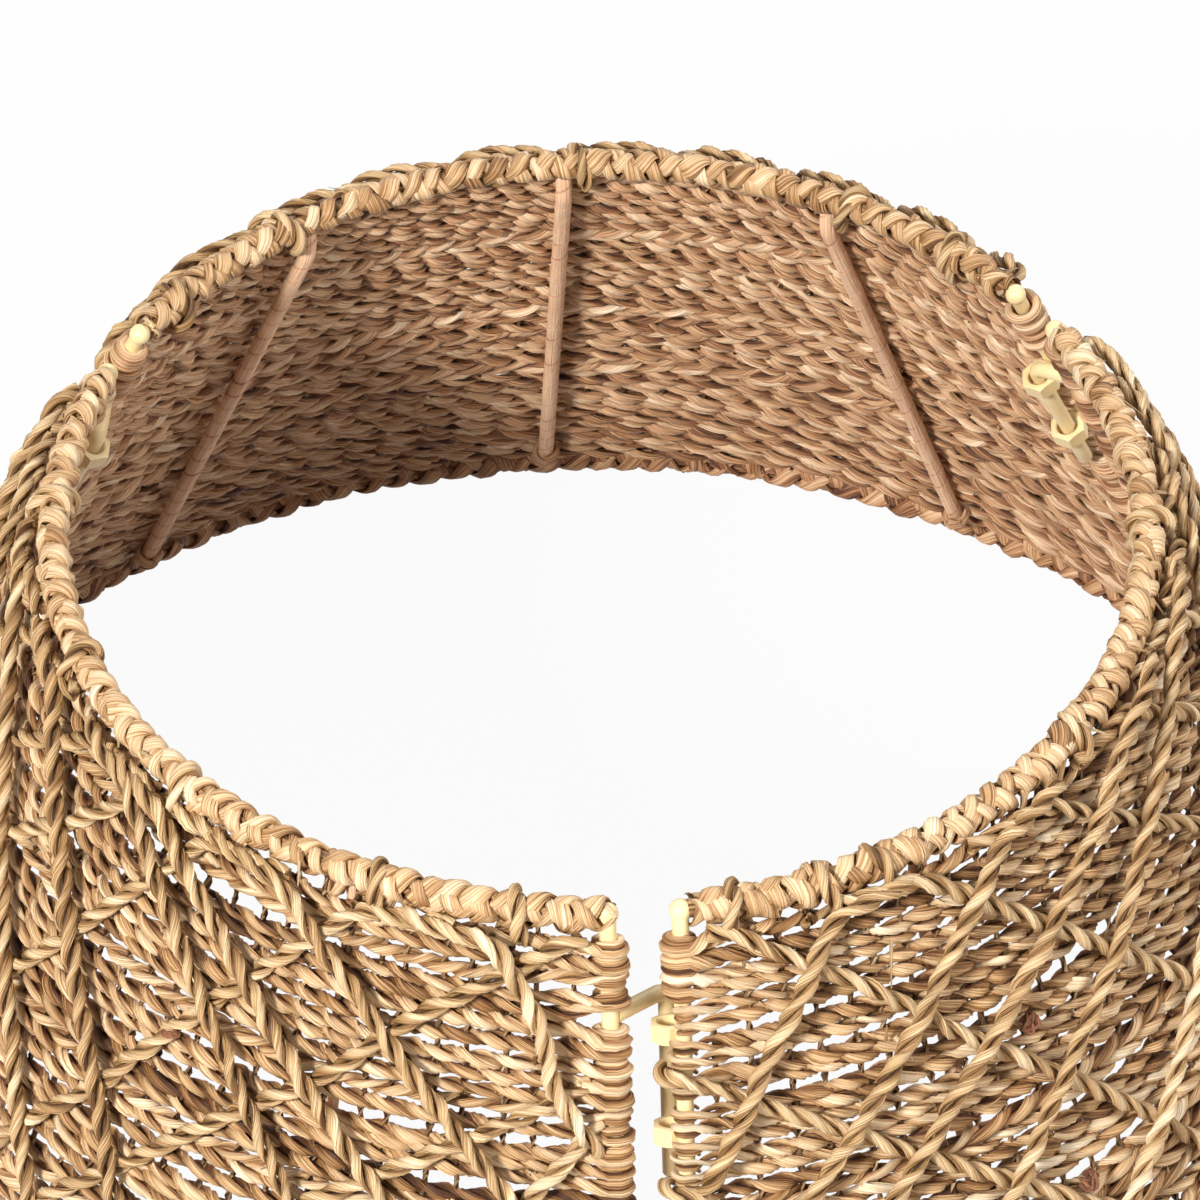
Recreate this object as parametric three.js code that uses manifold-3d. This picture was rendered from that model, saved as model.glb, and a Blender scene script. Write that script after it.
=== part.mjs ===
import * as THREE from 'three';
import { mergeVertices } from 'three/addons/utils/BufferGeometryUtils.js';
import Module from 'manifold-3d';

const wasm = await Module();
wasm.setup();

// Collar proportions: a flared ring of three equal panels, in millimetres
const RIM_RADIUS = 200;
const FOOT_RADIUS = 330;
const RAIL_DROP = 274;
const PANEL_COUNT = 3;
const FIRST_JOIN_DEG = -90;
const ROD_SPACING = 25;

// Wire frame
const TOP_RAIL_RADIUS = 2.5;
const BOTTOM_RAIL_RADIUS = 2.5;
const EDGE_ROD_RADIUS = 3;
const ROD_BALL_RADIUS = 4;
const STRUT_RADIUS = 3.4;
const STRUT_COUNT = 3;
const STRUT_TOP_STEP_DEG = 30.5;
const STRUT_FOOT_STEP_DEG = 33.5;
const STRUT_FOOT_GAP = 12;

// Woven cover
const SHEET_THICKNESS = 7;
const SELVEDGE_RADIUS = 7.2;
const TOP_BINDING_RADIUS = 6.2;
const BOTTOM_BINDING_RADIUS = 6.6;
const FOOT_FLAT_DEPTH = 1;

// Outer lattice of laid ropes
const LATTICE_ROPE_RADIUS = 3.6;
const LATTICE_LAYER_STEP = 4;
const LATTICE_SIDE_MARGIN = 6;
const LATTICE_END_MARGIN = 5;
const LATTICE_ROPE_COUNT = 8;
const ROPE_SLANT_DEG = 44;
const ROPE_SLANT_AT = 50;

// Hinge of two nuts and a bent pin
const PIN_RADIUS = 3;
const PIN_BEND_RADIUS = 6;
const PIN_LEG_AT = 38;
const PIN_END_AT = 108;
const NUT_FLATS = 13;
const NUT_BORE_RADIUS = 4.3;
const NUT_HEIGHT = 7;
const NUT_PITCH = 38;
const LEG_TO_NUT = 3;
const HINGE_SIDE_OFFSET = 4;
const FRONT_PIN_SETBACK = 14;
const SWING_DEG = 45;

// Clearances
const FIT = 0.3;
const STRUT_FIT = 0.6;
const LATTICE_FIT = 0.8;
const NOTCH_FIT = 0.5;
const SWING_FIT = 1.2;

// Facet counts
const ARC_STEPS = 20;
const TUBE_SIDES = 8;
const RAIL_SIDES = 5;
const ROPE_SIDES = 5;
const ROUND_SIDES = 12;
const ROPE_STEP_DEG = 8;
const SWING_STEPS = 3;

// Values that follow from the sizes above
const SLOPE = Math.atan2(FOOT_RADIUS - RIM_RADIUS, RAIL_DROP);
const SLANT = Math.hypot(FOOT_RADIUS - RIM_RADIUS, RAIL_DROP);
const FOOT_RAIL_Z = BOTTOM_BINDING_RADIUS - FOOT_FLAT_DEPTH;
const RIM_RAIL_Z = FOOT_RAIL_Z + RAIL_DROP;
const PANEL_ANGLE = 2 * Math.PI / PANEL_COUNT;
const ROD_OFFSET = ROD_SPACING / 2;
const NUT_CORNER_RADIUS = NUT_FLATS / Math.sqrt(3);
const HINGE_REACH = EDGE_ROD_RADIUS + NUT_FLATS / 2 + FIT;
const HINGE_SIDE = ROD_OFFSET - HINGE_SIDE_OFFSET;
const HINGE_IN = -Math.sqrt(HINGE_REACH ** 2 - HINGE_SIDE_OFFSET ** 2);
const UPPER_NUT_AT = PIN_LEG_AT + PIN_RADIUS + LEG_TO_NUT;
const LOWER_NUT_AT = UPPER_NUT_AT + NUT_PITCH;
const SHEET_TOP = TOP_BINDING_RADIUS + FIT;
const SHEET_FOOT = SLANT - BOTTOM_BINDING_RADIUS - FIT;
const UNDER_LAYER = SHEET_THICKNESS / 2 + LATTICE_FIT + LATTICE_ROPE_RADIUS;
const OVER_LAYER = UNDER_LAYER + LATTICE_LAYER_STEP;

// Point on the flared surface: turn about the axis, distance down the slant, distance outward
function onCone(turn, down, out) {
  const radius = RIM_RADIUS + down * Math.sin(SLOPE) + out * Math.cos(SLOPE);
  const height = RIM_RAIL_Z - down * Math.cos(SLOPE) + out * Math.sin(SLOPE);
  return new THREE.Vector3(radius * Math.cos(turn), radius * Math.sin(turn), height);
}

// Point beside a join: the line of the join, moved sideways and outward
function besideJoin(turn, side, down, out) {
  const sideways = new THREE.Vector3(-Math.sin(turn), Math.cos(turn), 0);
  return onCone(turn, down, out).addScaledVector(sideways, side);
}

// Turn at which a panel edge lies for a distance down the slant
function edgeTurn(down, side) {
  return Math.asin(side / (RIM_RADIUS + down * Math.sin(SLOPE)));
}

// Closed body from a geometry, its faces turned outward
function toSolid(geometry) {
  const bare = new THREE.BufferGeometry();
  bare.setAttribute('position', geometry.getAttribute('position').clone());
  if (geometry.index) bare.setIndex(geometry.index.clone());
  const merged = mergeVertices(bare, 1e-4);
  const vertProperties = new Float32Array(merged.getAttribute('position').array);
  const corners = [...merged.index.array];
  const triVerts = new Uint32Array(signedVolume(vertProperties, corners) < 0 ? corners.reverse() : corners);
  return new wasm.Manifold(new wasm.Mesh({ numProp: 3, vertProperties, triVerts }));
}

function signedVolume(points, corners) {
  const at = (i) => new THREE.Vector3().fromArray(points, 3 * corners[i]);
  let volume = 0;
  for (let i = 0; i < corners.length; i += 3) volume += at(i).dot(at(i + 1).cross(at(i + 2)));
  return volume;
}

function toGeometry(solid) {
  const mesh = solid.getMesh();
  const geometry = new THREE.BufferGeometry();
  geometry.setAttribute('position', new THREE.BufferAttribute(new Float32Array(mesh.vertProperties), 3));
  geometry.setIndex(new THREE.BufferAttribute(new Uint32Array(mesh.triVerts), 1));
  geometry.computeVertexNormals();
  return geometry;
}

// Moves every vertex of a geometry to the point that a rule gives for it
function reshape(geometry, rule) {
  const position = geometry.getAttribute('position');
  for (let i = 0; i < position.count; i += 1) {
    const point = rule(position.getX(i), position.getY(i), position.getZ(i));
    position.setXYZ(i, point.x, point.y, point.z);
  }
  return toSolid(geometry);
}

// Moves a geometry built along +Y so that it runs from one point towards another
function aim(geometry, from, to, facing) {
  const along = to.clone().sub(from).normalize();
  const across = facing.clone().addScaledVector(along, -facing.dot(along)).normalize();
  const third = new THREE.Vector3().crossVectors(across, along);
  geometry.applyMatrix4(new THREE.Matrix4().makeBasis(across, along, third).setPosition(from));
  return toSolid(geometry);
}

// Straight round bar between two points
function bar(from, to, radius) {
  const length = from.distanceTo(to);
  const geometry = new THREE.CylinderGeometry(radius, radius, length, ROUND_SIDES);
  geometry.translate(0, length / 2, 0);
  const facing = Math.abs(to.z - from.z) < 0.9 * length ? new THREE.Vector3(0, 0, 1) : new THREE.Vector3(1, 0, 0);
  return aim(geometry, from, to, facing);
}

// Bar bent along the panel at one distance down the slant, its ends square to the edge rods
function bentBar(down, radius, endGap, sides) {
  const geometry = new THREE.CylinderGeometry(radius, radius, 1, sides, ARC_STEPS);
  return reshape(geometry, (x, y, z) => {
    const start = edgeTurn(down + x, ROD_OFFSET + endGap);
    return onCone(start + (y + 0.5) * (PANEL_ANGLE - 2 * start), down + x, z);
  });
}

// Flared sheet between the two edge rods
function flaredSheet() {
  const geometry = new THREE.BoxGeometry(1, 1, 1, ARC_STEPS, 1, 1);
  return reshape(geometry, (x, y, z) => {
    const down = SHEET_TOP + (0.5 - y) * (SHEET_FOOT - SHEET_TOP);
    const start = edgeTurn(down, ROD_OFFSET);
    return onCone(start + (x + 0.5) * (PANEL_ANGLE - 2 * start), down, z * SHEET_THICKNESS);
  });
}

// Edge rod with a rounded ball at its upper end, turned about its own axis
function edgeRod(turn, side) {
  const tip = Math.sqrt(ROD_BALL_RADIUS ** 2 - EDGE_ROD_RADIUS ** 2);
  const profile = [new THREE.Vector2(0, -ROD_BALL_RADIUS)];
  const low = Math.PI / 2;
  const high = Math.PI - Math.asin(EDGE_ROD_RADIUS / ROD_BALL_RADIUS);
  for (const angle of [Math.PI / 6, Math.PI / 3, low, (low + high) / 2]) {
    profile.push(new THREE.Vector2(ROD_BALL_RADIUS * Math.sin(angle), -ROD_BALL_RADIUS * Math.cos(angle)));
  }
  profile.push(new THREE.Vector2(EDGE_ROD_RADIUS, tip));
  profile.push(new THREE.Vector2(EDGE_ROD_RADIUS, SLANT));
  profile.push(new THREE.Vector2(0, SLANT));
  const geometry = new THREE.LatheGeometry(profile, ROUND_SIDES);
  return aim(geometry, besideJoin(turn, side, 0, 0), besideJoin(turn, side, SLANT, 0), new THREE.Vector3(0, 0, 1));
}

// Hollow wound band round a rail
function binding(down, radius, railRadius, endGap) {
  const core = bentBar(down, railRadius + FIT, endGap - 1, RAIL_SIDES);
  return bentBar(down, radius, endGap, TUBE_SIDES).subtract(core);
}

// Hex nut on the hinge line, one flat towards the edge rod that carries it
function hingeNut(turn, at) {
  const hexagon = new THREE.Shape();
  for (let i = 0; i < 6; i += 1) {
    const angle = (i + 0.5) * Math.PI / 3;
    const corner = [NUT_CORNER_RADIUS * Math.cos(angle), NUT_CORNER_RADIUS * Math.sin(angle)];
    if (i === 0) hexagon.moveTo(...corner);
    else hexagon.lineTo(...corner);
  }
  hexagon.closePath();
  const bore = new THREE.Path();
  bore.absarc(0, 0, NUT_BORE_RADIUS, 0, 2 * Math.PI, true);
  hexagon.holes.push(bore);
  const geometry = new THREE.ExtrudeGeometry(hexagon, { depth: NUT_HEIGHT, bevelEnabled: false, curveSegments: 8 });
  geometry.rotateX(-Math.PI / 2);
  const from = besideJoin(turn, HINGE_SIDE, at, HINGE_IN);
  const to = besideJoin(turn, HINGE_SIDE, at + NUT_HEIGHT, HINGE_IN);
  const facing = besideJoin(turn, ROD_OFFSET, at, 0).sub(from);
  return aim(geometry, from, to, facing);
}

// Bent pin: a leg from the edge rod to the hinge line, then a straight shank down it
function hingePin(turn, setback) {
  const root = besideJoin(turn, -ROD_OFFSET, PIN_LEG_AT, 0);
  const corner = besideJoin(turn, HINGE_SIDE, PIN_LEG_AT, HINGE_IN - setback);
  const end = besideJoin(turn, HINGE_SIDE, PIN_END_AT, HINGE_IN - setback);
  const leg = corner.clone().sub(root).normalize();
  const drop = end.clone().sub(corner).normalize();
  const path = new THREE.CurvePath();
  const bendStart = corner.clone().addScaledVector(leg, -PIN_BEND_RADIUS);
  const bendEnd = corner.clone().addScaledVector(drop, PIN_BEND_RADIUS);
  path.add(new THREE.LineCurve3(root.clone().addScaledVector(leg, EDGE_ROD_RADIUS + FIT), bendStart));
  path.add(new THREE.QuadraticBezierCurve3(bendStart, corner, bendEnd));
  path.add(new THREE.LineCurve3(bendEnd, end));
  const round = new THREE.Shape();
  round.absarc(0, 0, PIN_RADIUS, 0, 2 * Math.PI, false);
  return toSolid(new THREE.ExtrudeGeometry(round, { steps: 20, extrudePath: path, curveSegments: 5 }));
}

// Woven sheet with a selvedge round each edge rod and room for the hinge parts
function wovenSheet(startTurn, endTurn, pinSetback) {
  let sheet = flaredSheet();
  for (const [turn, side] of [[startTurn, ROD_OFFSET], [endTurn, -ROD_OFFSET]]) {
    const top = besideJoin(turn, side, SHEET_TOP, 0);
    const foot = besideJoin(turn, side, SHEET_FOOT, 0);
    sheet = sheet.add(bar(top, foot, SELVEDGE_RADIUS));
    const above = besideJoin(turn, side, -TOP_BINDING_RADIUS, 0);
    sheet = sheet.subtract(bar(above, besideJoin(turn, side, SLANT, 0), EDGE_ROD_RADIUS + FIT));
  }
  const onHinge = (at) => besideJoin(startTurn, HINGE_SIDE, at, HINGE_IN);
  for (const at of [UPPER_NUT_AT, LOWER_NUT_AT]) {
    const room = bar(onHinge(at - NOTCH_FIT), onHinge(at + NUT_HEIGHT + NOTCH_FIT), NUT_CORNER_RADIUS + NOTCH_FIT);
    sheet = sheet.subtract(room);
  }
  const sweep = bar(onHinge(PIN_LEG_AT - 2 * PIN_RADIUS), onHinge(PIN_END_AT + PIN_RADIUS), PIN_RADIUS + SWING_FIT);
  sheet = sheet.subtract(sweep);
  const hub = onHinge(PIN_LEG_AT);
  const axle = onHinge(PIN_END_AT).sub(hub).normalize();
  const leg = besideJoin(startTurn, -ROD_OFFSET, PIN_LEG_AT, 0).sub(hub);
  for (let i = 0; i <= SWING_STEPS; i += 1) {
    const swung = leg.clone().applyAxisAngle(axle, -THREE.MathUtils.degToRad(SWING_DEG) * i / SWING_STEPS);
    sheet = sheet.subtract(bar(hub, swung.add(hub), PIN_RADIUS + SWING_FIT));
  }
  const legRoot = besideJoin(endTurn, -ROD_OFFSET, PIN_LEG_AT, 0);
  const legTip = besideJoin(endTurn, HINGE_SIDE, PIN_LEG_AT, HINGE_IN - pinSetback);
  return sheet.subtract(bar(legRoot, legTip, PIN_RADIUS + NOTCH_FIT));
}

// Turn of a rope laid straight over the flared surface, from its turn half-way down
function straightTurn(middleTurn, hand, down) {
  const fromApex = (at) => RIM_RADIUS / Math.sin(SLOPE) + at;
  const nearest = fromApex(ROPE_SLANT_AT) * Math.sin(THREE.MathUtils.degToRad(ROPE_SLANT_DEG));
  const swept = (at) => Math.acos(nearest / fromApex(at)) / Math.sin(SLOPE);
  return middleTurn + hand * (swept(down) - swept(SLANT / 2));
}

// Stretch of the slant, top and foot, over which a lattice rope stays on the panel
function ropeStretch(middleTurn, hand) {
  const top = SHEET_TOP + LATTICE_END_MARGIN;
  const foot = SHEET_FOOT - LATTICE_END_MARGIN;
  const inside = [];
  for (let i = 0; i <= 200; i += 1) {
    const down = top + (foot - top) * i / 200;
    const turn = straightTurn(middleTurn, hand, down);
    const margin = edgeTurn(down, ROD_OFFSET + SELVEDGE_RADIUS + LATTICE_SIDE_MARGIN);
    if (turn > margin && turn < PANEL_ANGLE - margin) inside.push(down);
  }
  return [inside[0], inside[inside.length - 1]];
}

// One lattice rope laid over the sheet
function latticeRope(middleTurn, hand, layer, first, last) {
  const turnAt = (down) => straightTurn(middleTurn, hand, down);
  const turned = Math.abs(turnAt(last) - turnAt(first));
  const steps = Math.max(2, Math.ceil(THREE.MathUtils.radToDeg(turned) / ROPE_STEP_DEG));
  const geometry = new THREE.CylinderGeometry(LATTICE_ROPE_RADIUS, LATTICE_ROPE_RADIUS, 1, ROPE_SIDES, steps);
  return reshape(geometry, (x, y, z) => {
    const down = first + (y + 0.5) * (last - first);
    const centre = onCone(turnAt(down), down, layer);
    const away = onCone(turnAt(down), down, layer + 1).sub(centre);
    const along = onCone(turnAt(down + 1), down + 1, layer).sub(centre).normalize();
    const across = new THREE.Vector3().crossVectors(along, away).normalize();
    return centre.addScaledVector(across, x).addScaledVector(away, z);
  });
}

// Net of ropes laid both ways, one set over the other and joined to it at each crossing
function lattice(hand) {
  const ropes = [];
  for (const [way, layer] of [[hand, OVER_LAYER], [-hand, UNDER_LAYER]]) {
    for (let i = 0; i < LATTICE_ROPE_COUNT; i += 1) {
      const middle = PANEL_ANGLE * (i + 0.5) / LATTICE_ROPE_COUNT;
      const [first, last] = ropeStretch(middle, way);
      ropes.push(latticeRope(middle, way, layer, first, last));
    }
  }
  return ropes.reduce((net, rope) => net.add(rope));
}

// Strut along the inner side of the sheet
function strut(place) {
  const out = -(SHEET_THICKNESS / 2 + STRUT_FIT + STRUT_RADIUS);
  const topTurn = PANEL_ANGLE / 2 + THREE.MathUtils.degToRad(STRUT_TOP_STEP_DEG) * place;
  const footTurn = PANEL_ANGLE / 2 + THREE.MathUtils.degToRad(STRUT_FOOT_STEP_DEG) * place;
  const foot = onCone(footTurn, SHEET_FOOT - STRUT_FOOT_GAP, out);
  return bar(onCone(topTurn, SHEET_TOP, out), foot, STRUT_RADIUS);
}

const collar = new THREE.Group();
collar.name = 'christmas_tree_collar';

function addPiece(name, solid, turn, color, roughness, metalness) {
  const geometry = toGeometry(solid);
  geometry.rotateZ(turn);
  const mesh = new THREE.Mesh(geometry, new THREE.MeshStandardMaterial({ color, roughness, metalness }));
  mesh.name = name;
  collar.add(mesh);
}

const CREAM = 0xeedba6;
const TAPE = 0xb5876a;
const STRAW = 0xc8a673;
const KHAKI = 0xb79a67;

function addPanel(name, turn, hand, pinSetback) {
  const wire = (piece, solid) => addPiece(`${name}_${piece}`, solid, turn, CREAM, 0.45, 0.1);
  const straw = (piece, solid, color) => addPiece(`${name}_${piece}`, solid, turn, color, 0.85, 0);
  const railGap = EDGE_ROD_RADIUS + FIT;
  wire('top_rail', bentBar(0, TOP_RAIL_RADIUS, ROD_BALL_RADIUS + FIT, RAIL_SIDES));
  wire('bottom_rail', bentBar(SLANT, BOTTOM_RAIL_RADIUS, railGap, RAIL_SIDES));
  wire('nut_rod', edgeRod(0, ROD_OFFSET));
  wire('pin_rod', edgeRod(PANEL_ANGLE, -ROD_OFFSET));
  for (let i = 0; i < STRUT_COUNT; i += 1) {
    addPiece(`${name}_strut_${i + 1}`, strut(i - (STRUT_COUNT - 1) / 2), turn, TAPE, 0.8, 0);
  }
  straw('woven_sheet', wovenSheet(0, PANEL_ANGLE, pinSetback), STRAW);
  straw('top_binding', binding(0, TOP_BINDING_RADIUS, TOP_RAIL_RADIUS, ROD_BALL_RADIUS + FIT), STRAW);
  const foot = binding(SLANT, BOTTOM_BINDING_RADIUS, BOTTOM_RAIL_RADIUS, railGap);
  const ground = new THREE.BoxGeometry(4 * FOOT_RADIUS, 4 * FOOT_RADIUS, RAIL_DROP);
  ground.translate(0, 0, -RAIL_DROP / 2);
  straw('bottom_binding', foot.subtract(toSolid(ground)), STRAW);
  straw('lattice', lattice(hand), KHAKI);
  wire('nut_upper', hingeNut(0, UPPER_NUT_AT));
  wire('nut_lower', hingeNut(0, LOWER_NUT_AT));
  wire('hinge_pin', hingePin(PANEL_ANGLE, pinSetback));
}

const firstJoin = THREE.MathUtils.degToRad(FIRST_JOIN_DEG);
addPanel('right', firstJoin, -1, 0);
addPanel('back', firstJoin + PANEL_ANGLE, 1, 0);
addPanel('left', firstJoin + 2 * PANEL_ANGLE, 1, FRONT_PIN_SETBACK);

export default collar;
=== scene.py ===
import math

import bpy
import numpy as np
from mathutils import Matrix, Vector


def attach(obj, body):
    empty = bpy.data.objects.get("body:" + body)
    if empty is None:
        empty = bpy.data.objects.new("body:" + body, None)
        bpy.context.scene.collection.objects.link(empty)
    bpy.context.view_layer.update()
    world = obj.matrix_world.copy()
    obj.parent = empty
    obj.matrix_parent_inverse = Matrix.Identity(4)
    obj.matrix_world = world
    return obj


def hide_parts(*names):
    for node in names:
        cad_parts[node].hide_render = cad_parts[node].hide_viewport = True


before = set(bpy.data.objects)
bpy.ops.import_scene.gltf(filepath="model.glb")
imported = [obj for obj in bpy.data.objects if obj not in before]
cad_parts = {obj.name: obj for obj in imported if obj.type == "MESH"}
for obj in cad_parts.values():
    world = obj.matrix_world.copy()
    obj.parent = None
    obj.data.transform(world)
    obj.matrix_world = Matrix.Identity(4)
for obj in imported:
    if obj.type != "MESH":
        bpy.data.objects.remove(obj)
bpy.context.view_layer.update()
rng = np.random.default_rng(11)

# Sizes of the collar in millimetres, the same as the solids
RIM_R, FOOT_R, DROP = 200.0, 330.0, 274.0
FOOT_Z = 5.6
RIM_Z = FOOT_Z + DROP
SLOPE = math.atan2(FOOT_R - RIM_R, DROP)
SLANT = math.hypot(FOOT_R - RIM_R, DROP)
PANEL = math.radians(120.0)
SHEET_FOOT_GAP = 6.9
SHEET_FOOT = SLANT - SHEET_FOOT_GAP
ROD_OFFSET, ROD_R, BALL_R = 12.5, 3.0, 4.0
STRUTS, STRUT_R, STRUT_FOOT_GAP = 3, 3.4, 12.0
STRUT_FOOT = SHEET_FOOT - STRUT_FOOT_GAP
STRUT_TOP_STEP, STRUT_FOOT_STEP = math.radians(30.5), math.radians(33.5)
PIN_R, LEG_AT, PIN_END, PIN_BEND = 3.0, 38.0, 108.0, 6.0
NUT_FLATS, NUT_H, BORE_R, LEG_TO_NUT, NUT_PITCH = 13.0, 7.0, 4.3, 3.0, 38.0
UPPER_NUT_AT = LEG_AT + PIN_R + LEG_TO_NUT
NUT_AT = (UPPER_NUT_AT, UPPER_NUT_AT + NUT_PITCH)
HINGE_SHIFT, WELD_GAP, FRONT_SETBACK = 4.0, 0.3, 14.0
HINGE_SIDE = ROD_OFFSET - HINGE_SHIFT
HINGE_IN = -math.sqrt((ROD_R + NUT_FLATS / 2 + WELD_GAP) ** 2 - HINGE_SHIFT ** 2)

# A millimetre in metres, and the least length to divide by
MM, TINY = 0.001, 1e-9

# Each panel's first join, the body it rides, the way its upper lattice ropes lean and its pin's setback
PANELS = {
    "right": (math.radians(-90), "right_wing", -1, 0.0),
    "back": (math.radians(30), "back_panel", 1, 0.0),
    "left": (math.radians(150), "left_wing", 1, FRONT_SETBACK),
}

# Angles in degrees past which a mesh's edges are drawn sharp
WEAVE_CREASE, BINDING_CREASE, ROPE_CREASE, WIRE_CREASE, NUT_CREASE = 66, 62, 68, 60, 32


def radius_at(down):
    """Radius of the flared surface at a distance down the slant."""
    return RIM_R + down * math.sin(SLOPE)


def cone(turn, down, out):
    """Point on the flared surface from its turn, distance down the slant and distance outward."""
    turn, down, out = np.broadcast_arrays(turn, down, out)
    r = radius_at(down) + out * math.cos(SLOPE)
    z = RIM_Z - down * math.cos(SLOPE) + out * math.sin(SLOPE)
    return np.stack([r * np.cos(turn), r * np.sin(turn), z], -1)


def cone_normal(turn):
    """Outward direction of the flared surface."""
    turn = np.asarray(turn, float)
    level, rise = math.cos(SLOPE), math.sin(SLOPE)
    return np.stack([level * np.cos(turn), level * np.sin(turn), np.full(turn.shape, rise)], -1)


def sideways(turn):
    """Level direction round the collar."""
    return np.array([-math.sin(turn), math.cos(turn), 0.0])


def beside(turn, side, down, out):
    """Point beside a join line, moved sideways."""
    return cone(turn, down, out) + np.asarray(side, float)[..., None] * sideways(turn)


def edge_turn(down, side):
    """Turn that a distance sideways takes up."""
    return np.arcsin(side / radius_at(down))


def unit(v):
    """Vectors of length one."""
    return v / np.maximum(np.linalg.norm(v, axis=-1, keepdims=True), TINY)


def axes_along(path, facing):
    """Directions up, towards the facing side, and across at each point of a path."""
    along = unit(np.gradient(path, axis=0))
    up = unit(facing - (facing * along).sum(-1, keepdims=True) * along)
    return up, np.cross(along, up)


def smooth01(x):
    """Smooth step from 0 to 1."""
    x = np.clip(x, 0, 1)
    return x * x * (3 - 2 * x)


def taper(least, x):
    """Factor that grows smoothly from its least value, where x is 0, to one, where x is 1."""
    return least + (1 - least) * smooth01(x)


def run_length(path):
    """Length along a path at each of its points."""
    return np.concatenate([[0], np.cumsum(np.linalg.norm(np.diff(path, axis=0), axis=1))])


def smoothed(values, width=7):
    """Running mean that keeps the number of values."""
    padded = np.pad(values, width // 2, mode="edge")
    return np.convolve(padded, np.ones(width) / width, mode="valid")


# Smooth random runs: the fewest knots, knots to spare, and how far a run stops short of the knots' count
FEWEST_KNOTS, SPARE_KNOTS, RUN_SHORT = 4, 3, 1.001


def wobble(n, scale, amount):
    """Smooth random run of n values, scale values to a knot."""
    k = max(FEWEST_KNOTS, int(n / scale) + SPARE_KNOTS)
    knots = rng.normal(0, 1, k)
    x = np.linspace(0, k - RUN_SHORT, n)
    i = x.astype(int)
    t = smooth01(x - i)
    return amount * (knots[i] * (1 - t) + knots[np.minimum(i + 1, k - 1)] * t)


def uneven(n, scale, amount, least, most):
    """Factors near one that make a strand thick and thin."""
    return 1 + np.clip(wobble(n, scale, amount), least, most)


def per_point(values, n):
    """Values for each point and side of a strand, from one value, one a point or one a vertex."""
    values = np.asarray(values, float)
    return values if values.ndim == 2 else np.broadcast_to(values, n)[:, None]


def panel_axes(panel_turn):
    """Matrix that turns a panel's points to its place in the ring."""
    c, s = math.cos(panel_turn), math.sin(panel_turn)
    return np.array([[c, s, 0], [-s, c, 0], [0, 0, 1]])


def linked(name, data):
    """New object in the scene."""
    ob = bpy.data.objects.new(name, data)
    bpy.context.scene.collection.objects.link(ob)
    return ob


# Strand sections: how far corners shift and stand out, and how each strand's grain starts elsewhere
FOLD_SWING, FOLD_LIMITS = 0.9, (0.72, 1.3)
SEED_SPAN, SEED_SKEW = 50, 1.7

# Two-ply ropes: section, the wander of tone, thickness and spin, and the painted shade that darkens the
# groove between plies
PLY_FLAT, PLY_FOLD, GROOVE_SHADE = 0.9, 0.16, 0.30
PLY_TONE_SCALE, PLY_TONE_SHARE, PLY_UNEVEN, PLY_SPIN = 9, 0.7, (7, 0.10, -0.2, 0.2), (30, 0.7)

# Span in radians of a random start angle
ANY_ANGLE = 6


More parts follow.
